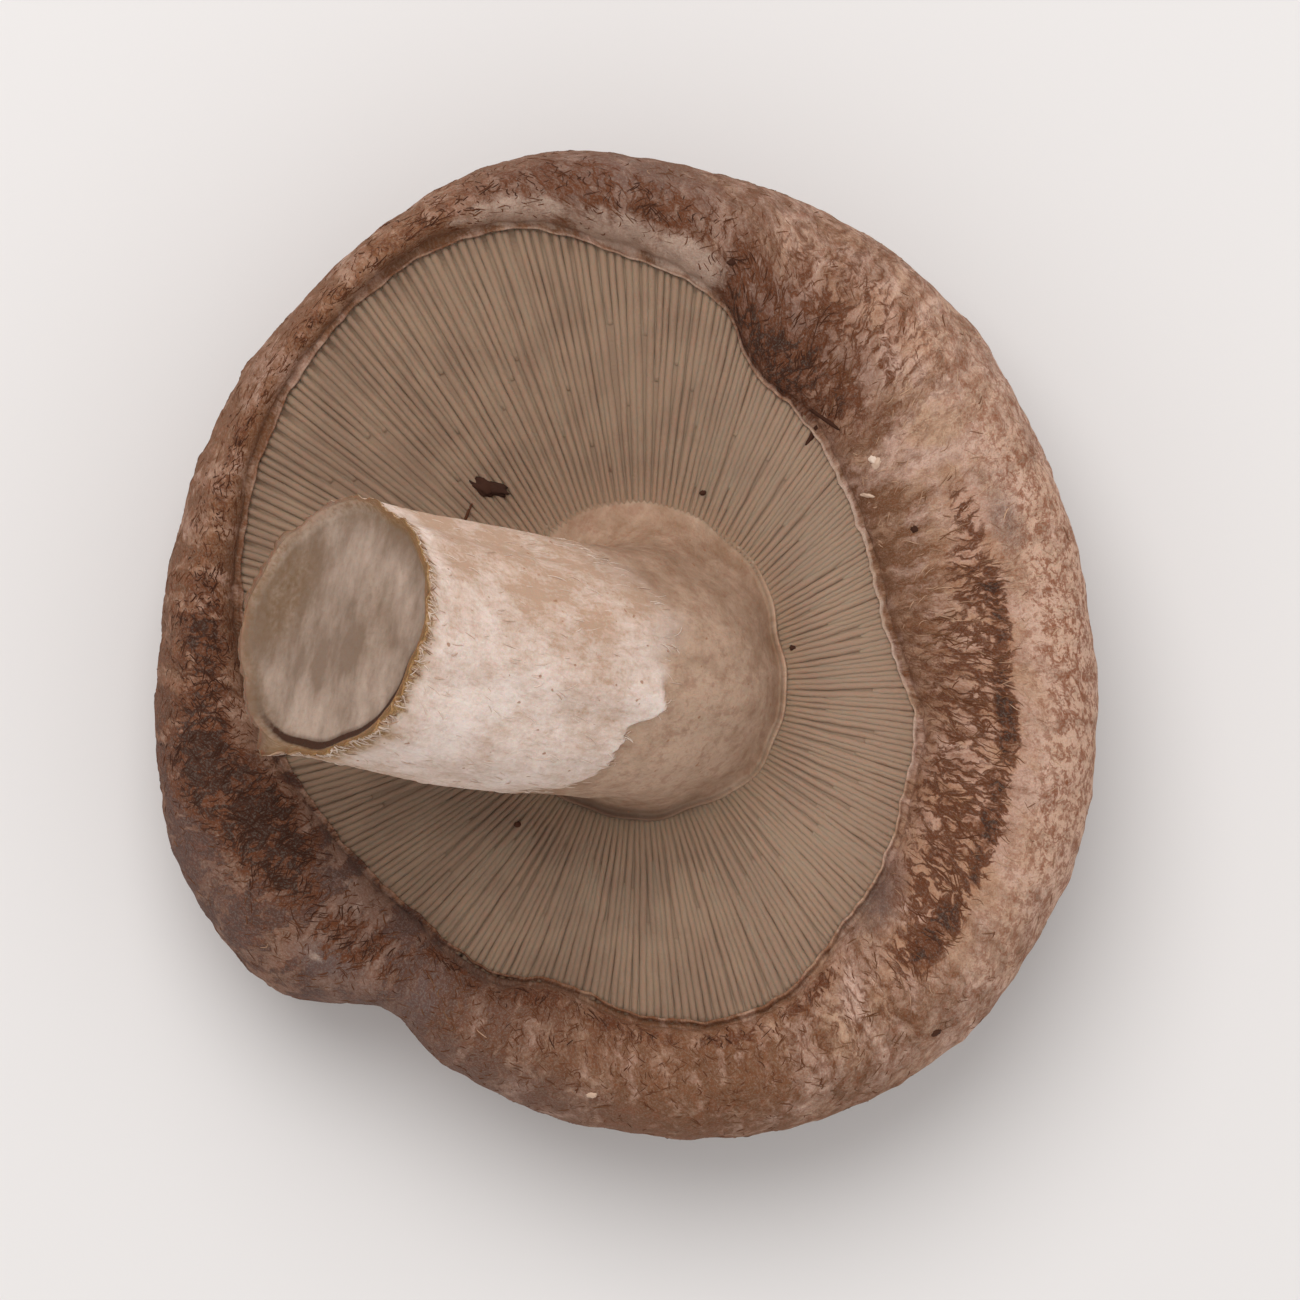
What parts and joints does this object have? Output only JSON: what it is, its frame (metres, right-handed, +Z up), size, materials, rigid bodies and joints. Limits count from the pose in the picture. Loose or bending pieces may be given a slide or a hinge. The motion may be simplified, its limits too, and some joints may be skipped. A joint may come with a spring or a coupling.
{
  "type": "shiitake mushroom",
  "caption": "Fresh shiitake mushroom lying cap down: rolled-in brown cap, dense gills facing up, and a thick leaning stem cut off aslant.",
  "frame": {"origin": "middle of the flat spot on the crown that the mushroom rests on, straight under the middle of the gills", "axes": "+Z up, from the crown towards the gills and stem; the stem leans towards -X; +Y is the cap's longest width"},
  "size_m": [0.0646, 0.068, 0.0477],
  "materials": {
    "cap_skin": "matte",
    "gills": "matte",
    "stem_flesh": "matte"
  },
  "bodies": {
    "root": {"mushroom": "cap_skin"}
  },
  "joints": []
}
